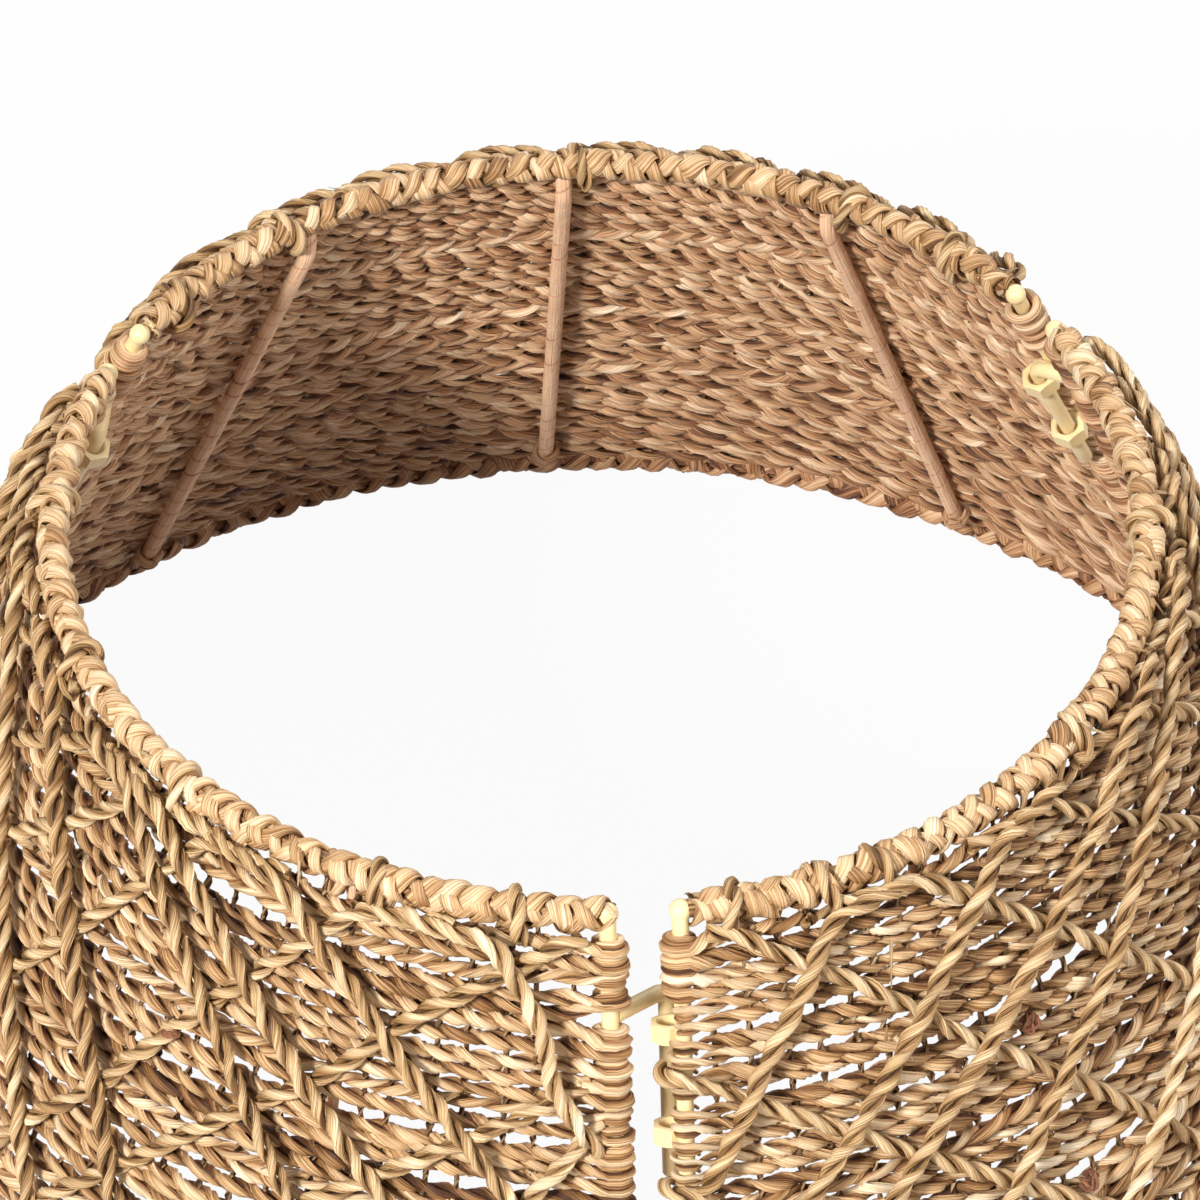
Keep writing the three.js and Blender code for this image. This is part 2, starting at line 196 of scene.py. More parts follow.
class Bundle:
    """Collects swept strands and makes one mesh object of them."""

    def __init__(self):
        self.verts, self.fibre, self.tone = [], [], []
        self.quads, self.tris = [], []
        self.count = 0

    def strand(self, path, facing, radius, sides=6, flat=1.0, tone=0.5, spin=0.0, fold=0.0, groove_shade=0.0):
        """One strand; fold makes its section an uneven polygon, and the groove amount darkens the side
        turned away as painted shade.
        """
        n = len(path)
        up, side = axes_along(path, facing)
        base = np.linspace(0, 2 * np.pi, sides, endpoint=False)
        angle = base + np.reshape(spin, (-1, 1)) + fold * rng.uniform(-FOLD_SWING, FOLD_SWING, sides)
        shape = np.clip(1 + fold * rng.normal(0, 1, sides), *FOLD_LIMITS)[None, :, None]
        ring = np.cos(angle)[..., None] * up[:, None] * flat + np.sin(angle)[..., None] * side[:, None]
        radius = per_point(radius, n)[..., None]
        self.verts.append((path[:, None] + radius * shape * ring).reshape(-1, 3))
        seed = rng.uniform(0, SEED_SPAN)
        fibre = np.empty((n, sides, 3))
        fibre[..., 0] = run_length(path)[:, None]
        fibre[..., 1] = np.cos(base) + seed
        fibre[..., 2] = np.sin(base) + seed * SEED_SKEW
        self.fibre.append(fibre.reshape(-1, 3))
        # Painted shade: the tone is darkened on the side turned away, where plies and leaves meet
        tone = per_point(tone, n) - groove_shade * (1 - np.cos(angle)) + np.zeros((n, sides))
        self.tone.append(tone.ravel())
        grid = self.count + np.arange(n * sides).reshape(n, sides)
        after = np.roll(grid, -1, axis=1)
        self.quads.append(np.stack([grid[:-1], after[:-1], after[1:], grid[1:]], -1).reshape(-1, 4))
        fan = np.arange(1, sides - 1)
        self.tris.append(np.stack([np.full(sides - 2, grid[0, 0]), grid[0, fan + 1], grid[0, fan]], -1))
        self.tris.append(np.stack([np.full(sides - 2, grid[-1, 0]), grid[-1, fan], grid[-1, fan + 1]], -1))
        self.count += n * sides

    def rope(self, path, facing, strand_r, twist_r, phase, sides=6, tone=0.5, spread=0.10, depth=1.0):
        """Two plies twisted round one path; phase is the twist angle at each point."""
        n = len(path)
        up, side = axes_along(path, facing)
        for ply in range(2):
            angle = (phase + np.pi * ply)[:, None]
            out = np.cos(angle) * up * depth + np.sin(angle) * side / depth
            own = tone + rng.normal(0, spread) + wobble(n, PLY_TONE_SCALE, spread * PLY_TONE_SHARE)
            fat = strand_r * uneven(n, *PLY_UNEVEN)
            spin = rng.uniform(0, ANY_ANGLE) + wobble(n, *PLY_SPIN)
            self.strand(path + twist_r * out, out, fat, sides, PLY_FLAT, own, spin, PLY_FOLD, GROOVE_SHADE)

    def make(self, name, panel_turn, material, crease):
        """One mesh object in metres, turned to its panel's place, with nothing below the floor."""
        points = np.concatenate(self.verts) * MM @ panel_axes(panel_turn)
        points[:, 2] = np.maximum(points[:, 2], 0.0)
        quads, tris = np.concatenate(self.quads), np.concatenate(self.tris)
        mesh = bpy.data.meshes.new(name)
        mesh.vertices.add(len(points))
        mesh.vertices.foreach_set("co", points.astype(np.float32).ravel())
        corners = np.concatenate([quads.ravel(), tris.ravel()]).astype(np.int32)
        sizes = np.concatenate([np.full(len(quads), 4), np.full(len(tris), 3)]).astype(np.int32)
        mesh.loops.add(len(corners))
        mesh.loops.foreach_set("vertex_index", corners)
        mesh.polygons.add(len(sizes))
        mesh.polygons.foreach_set("loop_start", (np.cumsum(sizes) - sizes).astype(np.int32))
        mesh.update(calc_edges=True)
        mesh.polygons.foreach_set("use_smooth", np.ones(len(sizes), bool))
        fibre = mesh.attributes.new("fibre", "FLOAT_VECTOR", "POINT")
        fibre.data.foreach_set("vector", np.concatenate(self.fibre).astype(np.float32).ravel())
        tone = mesh.attributes.new("tone", "FLOAT", "POINT")
        tone.data.foreach_set("value", np.concatenate(self.tone).astype(np.float32))
        mesh.set_sharp_from_angle(angle=math.radians(crease))
        mesh.materials.append(material)
        return linked(name, mesh)


def nodes_of(name):
    """New node material, its tree and its main shader."""
    material = bpy.data.materials.new(name)
    material.use_nodes = True
    return material, material.node_tree, material.node_tree.nodes["Principled BSDF"]


def add(tree, kind, **sockets):
    """New node with some of its inputs set."""
    node = tree.nodes.new(kind)
    for key, value in sockets.items():
        node.inputs[key].default_value = value
    return node


def ramp(tree, stops):
    """Colour ramp through pairs of place and colour."""
    node = tree.nodes.new("ShaderNodeValToRGB")
    elements = node.color_ramp.elements
    while len(elements) < len(stops):
        elements.new(0.5)
    for element, (at, colour) in zip(elements, stops):
        element.position = at
        element.color = (*colour, 1.0)
    return node


def maths(tree, operation, a, b=0.0):
    """Maths node on numbers or sockets."""
    node = tree.nodes.new("ShaderNodeMath")
    node.operation = operation
    for socket, value in zip(node.inputs, (a, b)):
        if isinstance(value, (int, float)):
            socket.default_value = value
        else:
            tree.links.new(value, socket)
    return node.outputs[0]


def times(tree, a, b):
    """Product of numbers or sockets."""
    return maths(tree, "MULTIPLY", a, b)


def plus(tree, a, b):
    """Sum of numbers or sockets."""
    return maths(tree, "ADD", a, b)


def vectors(tree, operation):
    """Vector maths node."""
    node = tree.nodes.new("ShaderNodeVectorMath")
    node.operation = operation
    return node


def attribute(tree, name):
    """Node that reads a mesh attribute."""
    node = tree.nodes.new("ShaderNodeAttribute")
    node.attribute_name = name
    return node


def bumped(tree, height, bsdf, strength, distance):
    """Feeds a height to a shader as fine relief, its distance in metres."""
    bump = add(tree, "ShaderNodeBump", Strength=strength, Distance=distance)
    tree.links.new(height, bump.inputs["Height"])
    tree.links.new(bump.outputs["Normal"], bsdf.inputs["Normal"])


def fibre_noise(tree, fibre, along, across, detail):
    """Noise drawn out along a strand."""
    scale = vectors(tree, "MULTIPLY")
    scale.inputs[1].default_value = (along, across, across)
    tree.links.new(fibre, scale.inputs[0])
    noise = add(tree, "ShaderNodeTexNoise", Scale=1.0, Detail=detail, Roughness=0.6)
    tree.links.new(scale.outputs[0], noise.inputs["Vector"])
    return noise.outputs["Fac"]


# Where the inner ramp, a pinker painted shade on faces turned towards the axis, starts and how fast it
# takes over
INNER_SHADE_START, INNER_SHADE_GAIN = 0.4, 1.4


def facing_in(tree):
    """How far a surface looks towards the collar's axis, from 0 to 1."""
    place = tree.nodes.new("ShaderNodeTexCoord")
    flat = vectors(tree, "MULTIPLY")
    flat.inputs[1].default_value = (1.0, 1.0, 0.0)
    tree.links.new(place.outputs["Object"], flat.inputs[0])
    away = vectors(tree, "NORMALIZE")
    tree.links.new(flat.outputs[0], away.inputs[0])
    dot = vectors(tree, "DOT_PRODUCT")
    tree.links.new(away.outputs[0], dot.inputs[0])
    tree.links.new(place.outputs["Normal"], dot.inputs[1])
    share = maths(tree, "SUBTRACT", INNER_SHADE_START, times(tree, dot.outputs["Value"], INNER_SHADE_GAIN))
    share.node.use_clamp = True
    return share


# Straw marks: each noise's scale along and across the strand and its detail
STREAK_NOISE, PATCH_NOISE, FOLD_NOISE = (0.035, 5.0, 4.0), (0.05, 0.6, 2.0), (0.02, 2.3, 1.0)

# Straw marks: how sharp creases are, what each mark adds to the tone, and their mean
CREASE_SHARP, STREAK_MARK, PATCH_MARK, CREASE_MARK, MARK_MEAN = 11.0, 1.35, 0.6, 0.34, 1.21

# Straw relief and shine
STREAK_HEIGHT, CREASE_HEIGHT, STREAK_ROUGH, STRAW_SHINE = 0.7, 0.5, 0.2, 0.4


def straw(name, stops, rough, inner_shade_stops=None, grain=1.0):
    """Dried grass: long fibres, dark creases, pale and dark runs, a little waxy shine."""
    material, tree, bsdf = nodes_of(name)
    link = tree.links.new
    fibre = attribute(tree, "fibre").outputs["Vector"]
    tone = attribute(tree, "tone").outputs["Fac"]
    streak = fibre_noise(tree, fibre, *STREAK_NOISE)
    patch = fibre_noise(tree, fibre, *PATCH_NOISE)
    fold = fibre_noise(tree, fibre, *FOLD_NOISE)
    crease = maths(tree, "ABSOLUTE", maths(tree, "SUBTRACT", fold, 0.5))
    crease = maths(tree, "MINIMUM", times(tree, crease, CREASE_SHARP), 1.0)
    mark = plus(tree, times(tree, streak, STREAK_MARK), times(tree, patch, PATCH_MARK))
    mark = plus(tree, mark, times(tree, crease, CREASE_MARK))
    mark = times(tree, maths(tree, "SUBTRACT", mark, MARK_MEAN), grain)
    value = plus(tree, tone, mark)
    colour = ramp(tree, stops)
    link(value, colour.inputs["Fac"])
    shown = colour.outputs["Color"]
    # Faces turned towards the collar's axis take a pinker, darker ramp: painted shade of the inside
    if inner_shade_stops:
        inner_shade = ramp(tree, inner_shade_stops)
        link(value, inner_shade.inputs["Fac"])
        mix = tree.nodes.new("ShaderNodeMix")
        mix.data_type = "RGBA"
        link(facing_in(tree), mix.inputs["Factor"])
        link(shown, mix.inputs["A"])
        link(inner_shade.outputs["Color"], mix.inputs["B"])
        shown = mix.outputs["Result"]
    link(shown, bsdf.inputs["Base Color"])
    height = plus(tree, times(tree, streak, STREAK_HEIGHT), times(tree, crease, CREASE_HEIGHT))
    bumped(tree, height, bsdf, strength=0.8, distance=0.0006)
    roughness = plus(tree, times(tree, streak, STREAK_ROUGH), rough - STREAK_ROUGH / 2)
    link(roughness, bsdf.inputs["Roughness"])
    bsdf.inputs["Specular IOR Level"].default_value = STRAW_SHINE
    return material


def painted(name, pale, deep, rough):
    """Powder-coated wire: even colour with faint mottling and a fine skin texture."""
    material, tree, bsdf = nodes_of(name)
    link = tree.links.new
    place = tree.nodes.new("ShaderNodeTexCoord")
    mottle = add(tree, "ShaderNodeTexNoise", Scale=90.0, Detail=3.0)
    link(place.outputs["Object"], mottle.inputs["Vector"])
    colour = ramp(tree, [(0.3, deep), (0.7, pale)])
    link(mottle.outputs["Fac"], colour.inputs["Fac"])
    link(colour.outputs["Color"], bsdf.inputs["Base Color"])
    skin = add(tree, "ShaderNodeTexNoise", Scale=1400.0, Detail=2.0)
    link(place.outputs["Object"], skin.inputs["Vector"])
    bumped(tree, skin.outputs["Fac"], bsdf, strength=0.18, distance=0.0003)
    bsdf.inputs["Roughness"].default_value = rough
    return material


# Shades of each straw, from dark creases to pale leaf; the weft's inner ramp is a pinker, darker painted
# shade for faces turned inwards
WEFT_OUTER = [(0.0, (0.075, 0.026, 0.007)), (0.27, (0.315, 0.152, 0.050)), (0.52, (0.62, 0.395, 0.195)),
              (0.78, (0.82, 0.625, 0.395)), (1.0, (0.95, 0.82, 0.61))]
WEFT_INNER_SHADE = [(0.0, (0.085, 0.027, 0.010)), (0.27, (0.33, 0.148, 0.060)), (0.52, (0.63, 0.37, 0.20)),
              (0.78, (0.82, 0.58, 0.37)), (1.0, (0.95, 0.78, 0.57))]
LATTICE_SHADES = [(0.0, (0.080, 0.032, 0.009)), (0.27, (0.33, 0.178, 0.062)), (0.52, (0.61, 0.405, 0.205)),
                  (0.78, (0.81, 0.63, 0.395)), (1.0, (0.94, 0.82, 0.61))]
BINDING_SHADES = [(0.0, (0.085, 0.032, 0.009)), (0.27, (0.36, 0.185, 0.068)), (0.52, (0.64, 0.41, 0.21)),
                  (0.78, (0.83, 0.63, 0.40)), (1.0, (0.95, 0.82, 0.61))]
KNOT_SHADES = [(0.0, (0.07, 0.022, 0.010)), (0.5, (0.26, 0.095, 0.045)), (1.0, (0.52, 0.26, 0.13))]
TAPE_SHADES = [(0.0, (0.40, 0.18, 0.10)), (0.3, (0.85, 0.52, 0.33)), (0.65, (0.95, 0.65, 0.43)),
               (1.0, (0.97, 0.74, 0.53))]
WEFT = straw("weft_straw", WEFT_OUTER, rough=0.56, inner_shade_stops=WEFT_INNER_SHADE, grain=0.74)
KHAKI = straw("lattice_straw", LATTICE_SHADES, rough=0.56, grain=0.74)
RIM = straw("binding_straw", BINDING_SHADES, rough=0.5, grain=0.8)
KNOT = straw("knot_straw", KNOT_SHADES, rough=0.6)
TAPE = straw("strut_tape", TAPE_SHADES, rough=0.62, grain=0.25)
CREAM = painted("cream_wire", pale=(0.90, 0.74, 0.42), deep=(0.84, 0.66, 0.34), rough=0.38)

# Row ends: their turns round the edge rods, in millimetres and degrees, short where the hinge is near
WRAP_R, PIN_WRAP_R, WRAP_POINTS = 4.9, 4.0, 14
WRAP_FULL, WRAP_AT_LEG, WRAP_AT_NUT = -165.0, 50.0, 8.0
LEG_WRAP_CLEAR, NUT_WRAP_CLEAR = 7.4, 3.6


def wrap_limit(down):
    """How far round the nut-side rod a row may turn before it would meet the hinge."""
    if abs(down - LEG_AT) < LEG_WRAP_CLEAR:
        return WRAP_AT_LEG
    if any(at - NUT_WRAP_CLEAR < down < at + NUT_H + NUT_WRAP_CLEAR for at in NUT_AT):
        return WRAP_AT_NUT
    return WRAP_FULL


def wrap(turn, side, down, radius, limit, gap_sign):
    """Points round an edge rod, from the limit to the outer side."""
    a = np.radians(np.linspace(limit, 90, WRAP_POINTS))
    spoke = np.cos(a)[:, None] * sideways(turn) * gap_sign + np.sin(a)[:, None] * cone_normal(turn)
    return beside(turn, side, down, 0.0) + np.reshape(radius, (-1, 1)) * spoke, spoke


# Weave: rows of two-ply cord twined round thin warps
ROWS, WARPS, STEPS = 46, 36, 6
ROW_TOP, ROW_FOOT, ROW_SPREAD = 11.5, SHEET_FOOT - 3.5, 0.7
PLY_R, PLY_TWIST, PLY_DEPTH, EDGE_DEPTH = 2.1, 1.45, 1.35, 0.88
ROW_TONE, EDGE_LIFT = (0.61, 0.06), 0.14
OTHER_HAND_SHARE, TWIST_SHIFT = 0.15, 1.5

# Rows: the wander of their place, twist and thickness
ROW_DOWN_WANDER, ROW_OUT_WANDER, ROW_TWIST_WANDER = (28, 0.9), (16, 0.4), (40, 0.7)
ROW_UNEVEN = (26, 0.10, -0.2, 0.2)

# Rows near the edge rods: the runs over which they settle, what they keep clear of, and slimmer ends
FREE_RUN, ASIDE_RUN, RISE_RUN = 30.0, 18.0, 16.0
LEG_ROW_CLEAR, PIN_END_CLEAR = 6.8, 5.0
END_SLIM, END_SLIM_POINTS, PIN_SLIM, PIN_SLIM_POINTS = 0.6, 5, 0.62, 8


def weft_row(bundle, down0):
    """One row of two-ply cord; at either end its plies lie side by side round the edge rod."""
    n = WARPS * STEPS + 1
    share = np.linspace(0, 1, n)
    start = edge_turn(down0, ROD_OFFSET)
    turn = start + share * (PANEL - 2 * start)
    arc = share * (PANEL - 2 * start) * radius_at(down0)
    to_go = arc[-1] - arc
    free = smooth01(np.minimum(arc, to_go) / FREE_RUN)
    from_leg = down0 - LEG_AT
    aside = math.copysign(max(0.0, LEG_ROW_CLEAR - abs(from_leg)), from_leg)
    down = down0 + free * wobble(n, *ROW_DOWN_WANDER) + aside * (1 - smooth01(to_go / ASIDE_RUN))
    out = WRAP_R * (2 - smooth01(arc / RISE_RUN) - smooth01(to_go / RISE_RUN)) + wobble(n, *ROW_OUT_WANDER)
    body = cone(turn, down, out)
    beside_pin = LEG_AT < down0 < PIN_END + PIN_END_CLEAR
    first_r = PIN_WRAP_R if beside_pin else WRAP_R
    first, spoke_a = wrap(0.0, ROD_OFFSET, down0, first_r, wrap_limit(down0), -1)
    last, spoke_b = wrap(PANEL, -ROD_OFFSET, down0 + aside, WRAP_R, WRAP_FULL, 1)
    path = np.concatenate([first[:-1], body[1:-1], last[::-1][1:]])
    facing = np.concatenate([spoke_a[:-1], cone_normal(turn)[1:-1], spoke_b[::-1][1:]])
    hand = -1 if rng.uniform() < OTHER_HAND_SHARE else 1
    shift = rng.uniform(-TWIST_SHIFT, TWIST_SHIFT) + wobble(n, *ROW_TWIST_WANDER)
    phase = np.pi / 2 + hand * (np.pi * WARPS * share + free * shift)
    depth = EDGE_DEPTH + (PLY_DEPTH - EDGE_DEPTH) * free
    tone = rng.normal(*ROW_TONE) + EDGE_LIFT * (1 - free)
    phase, depth, tone = (np.pad(v[1:-1], WRAP_POINTS - 1, mode="edge") for v in (phase, depth, tone))
    ply = PLY_R * uneven(len(path), *ROW_UNEVEN)
    from_start = np.arange(len(path))
    ply *= taper(END_SLIM, from_start / END_SLIM_POINTS)
    if beside_pin:
        ply *= taper(PIN_SLIM, (from_start - WRAP_POINTS) / PIN_SLIM_POINTS)
    bundle.rope(path, facing, ply, PLY_TWIST, phase, tone=tone, depth=depth[:, None])


# Warps: thin cords from rim to foot
WARP_TOP, WARP_FOOT, WARP_POINTS, WARP_SPREAD = 5.0, SHEET_FOOT + 1, 64, 0.08
WARP_R, WARP_TWIST, WARP_LAY, WARP_SIDES = 1.0, 0.8, 0.55, 5


def warp_cords(bundle):
    """Thin twisted cords from rim to foot inside the rows."""
    down = np.linspace(WARP_TOP, WARP_FOOT, WARP_POINTS)
    for i in range(1, WARPS):
        start = edge_turn(down, ROD_OFFSET)
        turn = start + (i + rng.normal(0, WARP_SPREAD)) / WARPS * (PANEL - 2 * start)
        path = cone(turn, down, 0.0)
        bundle.rope(path, cone_normal(turn), WARP_R, WARP_TWIST, down * WARP_LAY, sides=WARP_SIDES)


# Bindings: the rail's place down the slant, the way to the weave, and the leaves' size, pitch and reach
RIM_BINDING = {"rail_down": 0.0, "toward": 1, "radius": 4.1, "pitch": 19.0, "width": 3.2, "catch": 1.7}
FOOT_BINDING = {"rail_down": SLANT, "toward": -1, "radius": 4.1, "pitch": 27.0, "width": 3.5, "catch": 0.9}
# Tone of each panel's rim binding; the back panel's is lower as painted shade
RIM_TONE_AND_SHADE = {"left": 0.61, "right": 0.61, "back": 0.51}
# The foot binding's tone is lowered as painted shade along the bottom edge
FOOT_TONE_AND_SHADE = 0.45
BINDING_END = 2.5

# Bindings: a dark strand that covers the rail and paints shade in the gaps between the leaves, and the
# leaves plaited over it
SHADE_CORE_R, SHADE_CORE_STEP, SHADE_CORE_SIDES, SHADE_CORE_TONE = 3.3, 6, 10, 0.2
LEAVES, LEAF_POINTS, LEAF_SIDES = 4, 22, 8
LEAF_OVER, LEAF_FLAT, LEAF_FOLD, LEAF_SPIN = 1.0, 0.46, 0.16, 0.1
LEAF_TONE_SPREAD, LEAF_END, LEAF_END_POINTS = 0.03, 0.3, 9
CATCH_SHARE, PLAIN_REACH, REACH_BLUR = 0.13, 0.05, 9

# Bindings: the wander of the plait, of each leaf's angle, tone and spin, and of its lift and width
PLAIT_WANDER, LEAF_WANDER, LEAF_TONE_WANDER, LEAF_SPIN_WANDER = (60, 0.5), (30, 0.32), (24, 0.13), (24, 0.6)
LEAF_LIFT_UNEVEN, LEAF_UNEVEN = (18, 0.10, -0.12, 0.24), (16, 0.18, -0.32, 0.32)


def winding(bundle, cover_end, tone, rail_down, toward, radius, pitch, width, catch):
    """Four flat leaves plaited round a rail, two each way, some reaching over the nearest row."""
    start = float(edge_turn(rail_down, ROD_OFFSET + BINDING_END))
    end = float(edge_turn(rail_down, ROD_OFFSET - BINDING_END)) if cover_end else start
    span = PANEL - start - end
    turns = span * radius_at(rail_down) / pitch
    n = int(turns * LEAF_POINTS)
    share = np.linspace(0, 1, n)
    turn = start + share * span
    # Dark strand round the rail under the leaves: it covers the rail and is painted shade in the gaps
    # between them
    shade_core_turn = turn[::SHADE_CORE_STEP]
    bundle.strand(cone(shade_core_turn, rail_down, 0.0), cone_normal(shade_core_turn), SHADE_CORE_R, SHADE_CORE_SIDES, tone=SHADE_CORE_TONE)
    drift = wobble(n, *PLAIT_WANDER)
    from_end = np.minimum(np.arange(n), np.arange(n)[::-1])
    for leaf in range(LEAVES):
        hand = 1 - 2 * (leaf % 2)
        angle = hand * 2 * np.pi * share * turns + np.pi * (leaf // 2) + drift + wobble(n, *LEAF_WANDER)
        loop = np.floor(angle / (2 * np.pi)).astype(int)
        loop -= loop.min()
        reach = np.where(rng.uniform(size=loop.max() + 1) < CATCH_SHARE, catch, PLAIN_REACH)[loop]
        reach = np.convolve(reach, np.ones(REACH_BLUR) / REACH_BLUR, mode="same")
        size = radius * uneven(n, *LEAF_LIFT_UNEVEN) + LEAF_OVER * hand * np.cos(2 * angle)
        dip = size * (1 + reach * np.maximum(0, np.cos(angle)) ** 2)
        path = cone(turn, rail_down + toward * dip * np.cos(angle), size * np.sin(angle))
        facing = path - cone(turn, rail_down, 0.0)
        own = tone + rng.normal(0, LEAF_TONE_SPREAD) + wobble(n, *LEAF_TONE_WANDER)
        fat = width * uneven(n, *LEAF_UNEVEN)
        fat *= taper(LEAF_END, from_end / LEAF_END_POINTS)
        spin = run_length(path) * LEAF_SPIN + wobble(n, *LEAF_SPIN_WANDER)
        bundle.strand(path, facing, fat, LEAF_SIDES, LEAF_FLAT, own, spin, LEAF_FOLD, GROOVE_SHADE)


# Lattice: the usual lean and step of ropes in degrees, and where on the slant lean and place are taken
LATTICE_LEAN, LATTICE_STEP, LATTICE_LEAN_AT, LATTICE_MIDDLE = 44.0, 12, 50.0, 150.0


def evenly(first, last):
    """Ropes of the usual lean, one step apart."""
    return [(place, LATTICE_LEAN) for place in range(first, last + 1, LATTICE_STEP)]


# Lattice: where each upper and each under rope crosses the middle of the slant and how far it leans
LATTICE_AT = {
    "right": ([(-1, 30), (6, 43.5), (12.5, 54), (25.5, 55), (42, 64)] + evenly(55, 140),
              evenly(-24, 12) + [(34.5, 64), (44.5, 48), (58.5, 44), (76.5, 45.5)] + evenly(90, 128)),
    "back": (evenly(-20, 136), evenly(-20, 136)),
    "left": (evenly(-18, 54) + [(66.5, 43.5), (77, 40), (96, 44), (106.5, 49.5), (117, 45), (122, 25.5)],
             evenly(-13, 11) + [(23, 47.5), (38.5, 41.5), (53.5, 35), (66.5, 39), (74.5, 49.5), (85, 64)]
             + evenly(102, 138)),
}

# Lattice ropes: their make, and the part of the panel that they lie on
LATTICE_R, LATTICE_TWIST, LATTICE_PITCH, LATTICE_SIDES = 2.0, 1.65, 25.0, 7
LATTICE_TONE, LATTICE_SPREAD = (0.62, 0.04), 0.07
LATTICE_TOP, LATTICE_FOOT, LATTICE_MARGIN = 9.0, SHEET_FOOT + 2, 3.0
LATTICE_GRID, SHORTEST_RUN = 200, 16

# Lattice ropes: the two layers, and how they part where they cross
UNDER_OUT, OVER_OUT, UNDER_DIP, OVER_LIFT, CROSS_WIDTH = 7.0, 10.6, -1.0, 1.2, 9.0
FAR_TURN, FAR_DOWN = 9.0, 99.0

# Lattice ropes: points, wander and sunk ends
ROPE_STEP, FEWEST_POINTS, ROPE_TURN_WANDER, ROPE_OUT_WANDER = 1.8, 12, (30, 0.007), (22, 0.4)
END_SINK, END_SINK_RUN = 0.25, 9.0

# Lattice ropes that reach the rim: their tails along it, as lengths and turns
NEAR_RIM, RIM_TAIL, TAIL_POINTS, TAIL_RISE, TAIL_OUT = 12.0, 34.0, 14, 1.8, 5.0
TAIL_MARGIN, TAIL_LEAST = 0.1, 0.02

# Lattice ropes that end at the nut-side rod: their loops round it
EDGE_LOOP_R, EDGE_LOOP_LIMIT, EDGE_LOOP_RISE = (6.5, 10.2), -25.0, 2.0
EDGE_LOOP_SKIP, EDGE_LOOP_BLUR = 6, 5


def straight_turn(middle, lean, sign, down):
    """Turn of a rope laid straight over the flared surface."""
    sine = math.sin(SLOPE)
    apex = RIM_R / sine
    nearest = (apex + LATTICE_LEAN_AT) * math.sin(lean)
    there = math.acos(nearest / (apex + LATTICE_MIDDLE))
    return middle + sign * (np.arccos(nearest / (apex + down)) - there) / sine


def rope_runs(ropes, sign):
    """Stretches of each rope that lie on the panel, as distances down and turns."""
    grid = np.linspace(LATTICE_TOP, LATTICE_FOOT, LATTICE_GRID)
    margin = edge_turn(grid, ROD_OFFSET + LATTICE_MARGIN)
    runs = []
    for place, lean in ropes:
        turn = straight_turn(math.radians(place), math.radians(lean), sign, grid)
        keep = (turn > margin) & (turn < PANEL - margin)
        if keep.sum() > SHORTEST_RUN:
            runs.append((grid[keep], turn[keep]))
    return runs


def rope_course(run, others, sign, rest, lift):
    """Turn, distance down and distance outward along one rope, lifted or dipped where others cross it."""
    length = run_length(cone(run[1], run[0], rest))[-1]
    n = max(FEWEST_POINTS, int(length / ROPE_STEP))
    down = np.linspace(run[0][0], run[0][-1], n)
    turn = np.interp(down, *run) + wobble(n, *ROPE_TURN_WANDER)
    out = np.full(n, rest)
    for other in others:
        gap = np.interp(down, *other, left=FAR_TURN, right=FAR_TURN) - turn
        out += lift * np.exp(-(gap * radius_at(down) / CROSS_WIDTH) ** 2)
    near_rim = down[0] < NEAR_RIM
    from_top = np.full(n, FAR_DOWN) if near_rim else down - down[0]
    ends = np.minimum(from_top, down[-1] - down)
    out = out * taper(END_SINK, ends / END_SINK_RUN) + wobble(n, *ROPE_OUT_WANDER)
    if near_rim:
        tail = np.linspace(1, 0, TAIL_POINTS, endpoint=False)
        room = turn[0] - TAIL_MARGIN if sign > 0 else PANEL - TAIL_MARGIN - turn[0]
        reach = max(TAIL_LEAST, min(RIM_TAIL / RIM_R, room))
        turn = np.concatenate([turn[0] - sign * tail * reach, turn])
        down = np.concatenate([down[0] - TAIL_RISE * tail, down])
        out = np.concatenate([out[0] - (out[0] - TAIL_OUT) * tail ** 3, out])
    return smoothed(turn), smoothed(down), smoothed(out)


def edge_loop(path, facing, down):
    """Carries a rope's upper end round the edge rod, over the rows' own turns."""
    radius = np.linspace(*EDGE_LOOP_R, WRAP_POINTS)
    turned, spoke = wrap(0.0, ROD_OFFSET, down, radius, EDGE_LOOP_LIMIT, -1)
    path = np.concatenate([turned, path[EDGE_LOOP_SKIP:]])
    facing = np.concatenate([spoke, facing[EDGE_LOOP_SKIP:]])
    return np.stack([smoothed(c, EDGE_LOOP_BLUR) for c in path.T], -1), facing


def laid_rope(bundle, path, facing, strand_r, twist_r, tone, spread):
    """Thick rope of two plies; tone is its mean and spread from rope to rope."""
    phase = 2 * np.pi * run_length(path) / LATTICE_PITCH + rng.uniform(0, ANY_ANGLE)
    bundle.rope(path, facing, strand_r, twist_r, phase, LATTICE_SIDES, rng.normal(*tone), spread)


# Rope ends carried round the rim: their turns in degrees, their size and how far they run along it
RIM_LOOPS = {"right": (9.2, 17.2, 23.5, 52.0, 84.0), "back": (13.0, 27.0, 58.0, 93.0, 110.0),
             "left": (24.0, 48.0, 69.0, 93.0, 107.0)}
LOOP_DOWN, LOOP_OUT, LOOP_DROP, LOOP_RUN = 8.8, 6.7, 3.4, 10.0
LOOP_R, LOOP_TWIST_SHARE, LOOP_TONE, LOOP_SPREAD = 1.9, 0.8, (0.58, 0.05), 0.08
LOOP_POINTS, LOOP_START, LOOP_TURNS, LOOP_WANDER = 44, 0.08, 1.04, (12, 0.3)
LOOP_END, LOOP_END_GAIN = 0.5, 12


